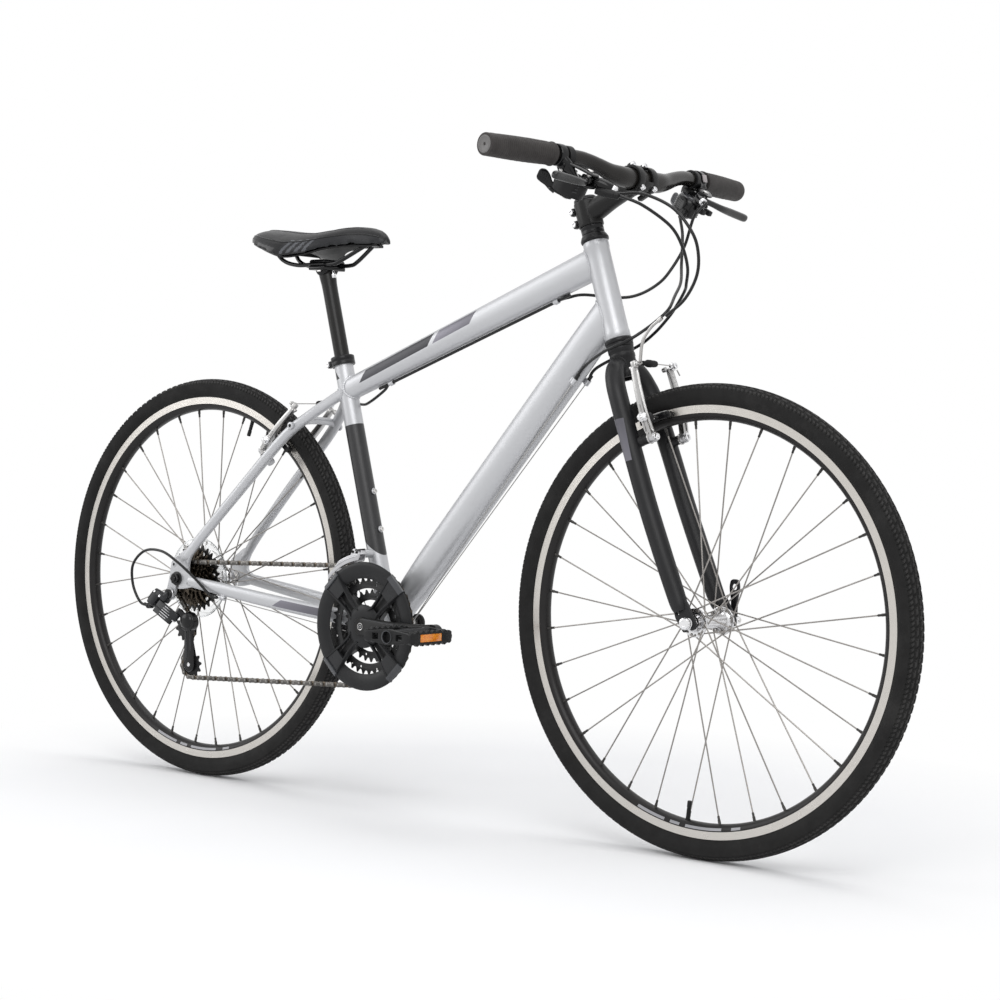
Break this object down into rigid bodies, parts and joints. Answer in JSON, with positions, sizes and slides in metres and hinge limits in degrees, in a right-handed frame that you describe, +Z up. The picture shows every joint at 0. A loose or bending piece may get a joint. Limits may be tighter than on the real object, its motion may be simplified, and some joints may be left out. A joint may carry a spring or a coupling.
{
  "type": "commuter bike",
  "caption": "Commuter bike with a straight-tube alloy frame, rigid fork, spoked wheels, chain drive with derailleurs, linear-pull brakes and a padded saddle.",
  "frame": {"origin": "on the ground midway between the two axles, in the bike's middle plane", "axes": "+X forward, +Y to the rider's left, +Z up; the chain is on the -Y side"},
  "size_m": [1.7528, 0.6444, 1.0335],
  "materials": {
    "frame_paint": "satin silver metallic",
    "black_paint": "matte black",
    "black_alloy": "black anodised",
    "bright_alloy": "polished",
    "stainless": "bright",
    "dark_steel": "dark oxide",
    "chain_steel": "grey-brown",
    "black_plastic": "moulded",
    "clear_plastic": "clear",
    "tyre_rubber": "block tread",
    "grip_rubber": "ribbed",
    "vinyl": "dark grey vinyl"
  },
  "bodies": {
    "frame": {"main_frame": "frame_paint", "headset_lower": "black_alloy", "seat_clamp": "black_alloy", "bottom_bracket": "dark_steel", "rear_axle": "stainless", "chain": "chain_steel", "rear_brake_cable": "black_plastic", "front_shift_cable": "black_plastic", "rear_shift_cable": "black_plastic", "rear_derailleur_mount": "black_alloy"},
    "steering": {"fork": "black_paint", "headset_upper": "black_alloy", "stem": "black_paint", "stem_faceplate": "black_paint", "handlebar": "black_paint", "right_grip": "grip_rubber", "left_grip": "grip_rubber", "right_shifter": "black_plastic", "left_shifter": "black_plastic", "front_axle": "bright_alloy", "front_brake_cable": "black_plastic"},
    "front_wheel": {"front_tyre": "tyre_rubber", "front_rim": "black_alloy", "front_spokes_right": "stainless", "front_spokes_left": "stainless", "front_hub": "bright_alloy"},
    "rear_wheel": {"rear_tyre": "tyre_rubber", "rear_rim": "black_alloy", "rear_spokes_right": "stainless", "rear_spokes_left": "stainless", "rear_hub": "bright_alloy", "spoke_protector": "clear_plastic"},
    "freewheel": {"sprockets": "dark_steel"},
    "crankset": {"crank_spindle": "stainless", "right_crank_arm": "black_alloy", "left_crank_arm": "black_alloy", "chainguard": "black_plastic", "chainring_set": "dark_steel", "right_pedal_axle": "stainless", "left_pedal_axle": "stainless"},
    "right_pedal_body": {"right_pedal": "black_plastic"},
    "left_pedal_body": {"left_pedal": "black_plastic"},
    "right_lever": {"right_brake_lever": "black_alloy"},
    "left_lever": {"left_brake_lever": "black_alloy"},
    "right_thumb": {"right_thumb_lever": "black_plastic"},
    "left_thumb": {"left_thumb_lever": "black_plastic"},
    "front_right_arm": {"front_right_brake_arm": "bright_alloy"},
    "front_left_arm": {"front_left_brake_arm": "bright_alloy"},
    "rear_right_arm": {"rear_right_brake_arm": "bright_alloy"},
    "rear_left_arm": {"rear_left_brake_arm": "bright_alloy"},
    "quick_release": {"front_quick_release_lever": "black_alloy"},
    "front_changer": {"front_derailleur_cage": "bright_alloy"},
    "changer_link": {"rear_derailleur_link": "black_alloy"},
    "changer_knuckle": {"rear_derailleur_knuckle": "black_alloy"},
    "changer_cage": {"rear_derailleur_cage": "black_alloy"},
    "upper_pulley": {"guide_pulley": "black_plastic"},
    "lower_pulley": {"tension_pulley": "black_plastic"},
    "saddle_post": {"seatpost": "black_paint", "saddle_base": "black_plastic", "saddle_cover": "vinyl"}
  },
  "joints": [
    {"name": "steering_turn", "type": "hinge", "parent": "frame", "child": "steering", "pos_m": [0.4885, 0, 0.33551], "axis": [-0.3123, 0, 0.95], "range_deg": [-75, 75], "deforming": ["rear_brake_cable", "front_shift_cable", "rear_shift_cable"]},
    {"name": "front_wheel_spin", "type": "hinge", "parent": "steering", "child": "front_wheel", "pos_m": [0.5265, 0, 0.348], "axis": [0, 1, 0], "continuous": true},
    {"name": "rear_wheel_spin", "type": "hinge", "parent": "frame", "child": "rear_wheel", "pos_m": [-0.5265, 0, 0.348], "axis": [0, 1, 0], "continuous": true},
    {"name": "crank_spin", "type": "hinge", "parent": "frame", "child": "crankset", "pos_m": [-0.09651, 0, 0.297], "axis": [0, 1, 0], "continuous": true, "deforming": ["chain"]},
    {"name": "freewheel_spin", "type": "hinge", "parent": "frame", "child": "freewheel", "pos_m": [-0.5265, 0, 0.348], "axis": [0, 1, 0], "continuous": true},
    {"name": "right_pedal_spin", "type": "hinge", "parent": "crankset", "child": "right_pedal_body", "pos_m": [0.07338, -0.09694, 0.29107], "axis": [0, 1, 0], "continuous": true},
    {"name": "left_pedal_spin", "type": "hinge", "parent": "crankset", "child": "left_pedal_body", "pos_m": [-0.26641, 0.09694, 0.30293], "axis": [0, 1, 0], "continuous": true},
    {"name": "right_lever_pull", "type": "hinge", "parent": "steering", "child": "right_lever", "pos_m": [0.39236, -0.148, 0.98259], "axis": [-0.4848, 0, -0.8746], "range_deg": [0, 22], "stiffness_Nm_per_rad": 1, "deforming": ["front_brake_cable"]},
    {"name": "left_lever_pull", "type": "hinge", "parent": "steering", "child": "left_lever", "pos_m": [0.39236, 0.148, 0.98259], "axis": [0.4848, 0, 0.8746], "range_deg": [0, 22], "stiffness_Nm_per_rad": 1},
    {"name": "front_right_arm_close", "type": "hinge", "parent": "steering", "child": "front_right_arm", "pos_m": [0.44569, -0.04, 0.6146], "axis": [-0.95, 0, -0.3123], "range_deg": [0, 3.05]},
    {"name": "front_left_arm_close", "type": "hinge", "parent": "steering", "child": "front_left_arm", "pos_m": [0.44569, 0.04, 0.6146], "axis": [0.95, 0, 0.3123], "range_deg": [0, 3.05]},
    {"name": "rear_right_arm_close", "type": "hinge", "parent": "frame", "child": "rear_right_arm", "pos_m": [-0.35726, -0.04, 0.57277], "axis": [-0.7052, 0, 0.709], "range_deg": [0, 3.05]},
    {"name": "rear_left_arm_close", "type": "hinge", "parent": "frame", "child": "rear_left_arm", "pos_m": [-0.35726, 0.04, 0.57277], "axis": [0.7052, 0, -0.709], "range_deg": [0, 3.05]},
    {"name": "right_thumb_push", "type": "hinge", "parent": "steering", "child": "right_thumb", "pos_m": [0.3572, -0.15, 0.96216], "axis": [-0.4848, 0, -0.8746], "range_deg": [0, 38], "stiffness_Nm_per_rad": 0.05},
    {"name": "left_thumb_push", "type": "hinge", "parent": "steering", "child": "left_thumb", "pos_m": [0.3572, 0.15, 0.96216], "axis": [0.4848, 0, 0.8746], "range_deg": [0, 38], "stiffness_Nm_per_rad": 0.05},
    {"name": "quick_release_open", "type": "hinge", "parent": "steering", "child": "quick_release", "pos_m": [0.5265, 0.0665, 0.348], "axis": [-1, 0, 0], "range_deg": [0, 180]},
    {"name": "front_changer_slide", "type": "slide", "parent": "frame", "child": "front_changer", "axis": [0, 1, 0], "range_m": [0, 0.014]},
    {"name": "changer_swing", "type": "hinge", "parent": "frame", "child": "changer_link", "pos_m": [-0.5565, -0.085, 0.302], "axis": [0.4112, 0.393, 0.8225], "range_deg": [0, 42], "stiffness_Nm_per_rad": 1},
    {"name": "changer_level", "type": "hinge", "parent": "changer_link", "child": "changer_knuckle", "pos_m": [-0.5165, -0.085, 0.282], "axis": [0.4112, 0.393, 0.8225], "range_deg": [-42, 0]},
    {"name": "cage_swing", "type": "hinge", "parent": "changer_knuckle", "child": "changer_cage", "pos_m": [-0.4925, -0.0665, 0.275], "axis": [0, 1, 0], "range_deg": [-25, 30], "stiffness_Nm_per_rad": 0.5},
    {"name": "upper_pulley_spin", "type": "hinge", "parent": "changer_cage", "child": "upper_pulley", "pos_m": [-0.5185, -0.0593, 0.263], "axis": [0, 1, 0], "continuous": true},
    {"name": "lower_pulley_spin", "type": "hinge", "parent": "changer_cage", "child": "lower_pulley", "pos_m": [-0.5005, -0.0593, 0.2], "axis": [0, 1, 0], "continuous": true},
    {"name": "seatpost_slide", "type": "slide", "parent": "frame", "child": "saddle_post", "axis": [-0.2689, 0, 0.9632], "range_m": [-0.12, 0.06]}
  ],
  "couplings": [
    {"joint": "freewheel_spin", "follows": "crank_spin", "ratio": 3.4286},
    {"joint": "upper_pulley_spin", "follows": "crank_spin", "ratio": -4.3636},
    {"joint": "lower_pulley_spin", "follows": "crank_spin", "ratio": 4.3636},
    {"joint": "front_right_arm_close", "follows": "right_lever_pull", "ratio": 0.1364},
    {"joint": "front_left_arm_close", "follows": "right_lever_pull", "ratio": 0.1364},
    {"joint": "rear_right_arm_close", "follows": "left_lever_pull", "ratio": 0.1364},
    {"joint": "rear_left_arm_close", "follows": "left_lever_pull", "ratio": 0.1364},
    {"joint": "changer_level", "follows": "changer_swing", "ratio": -1}
  ]
}
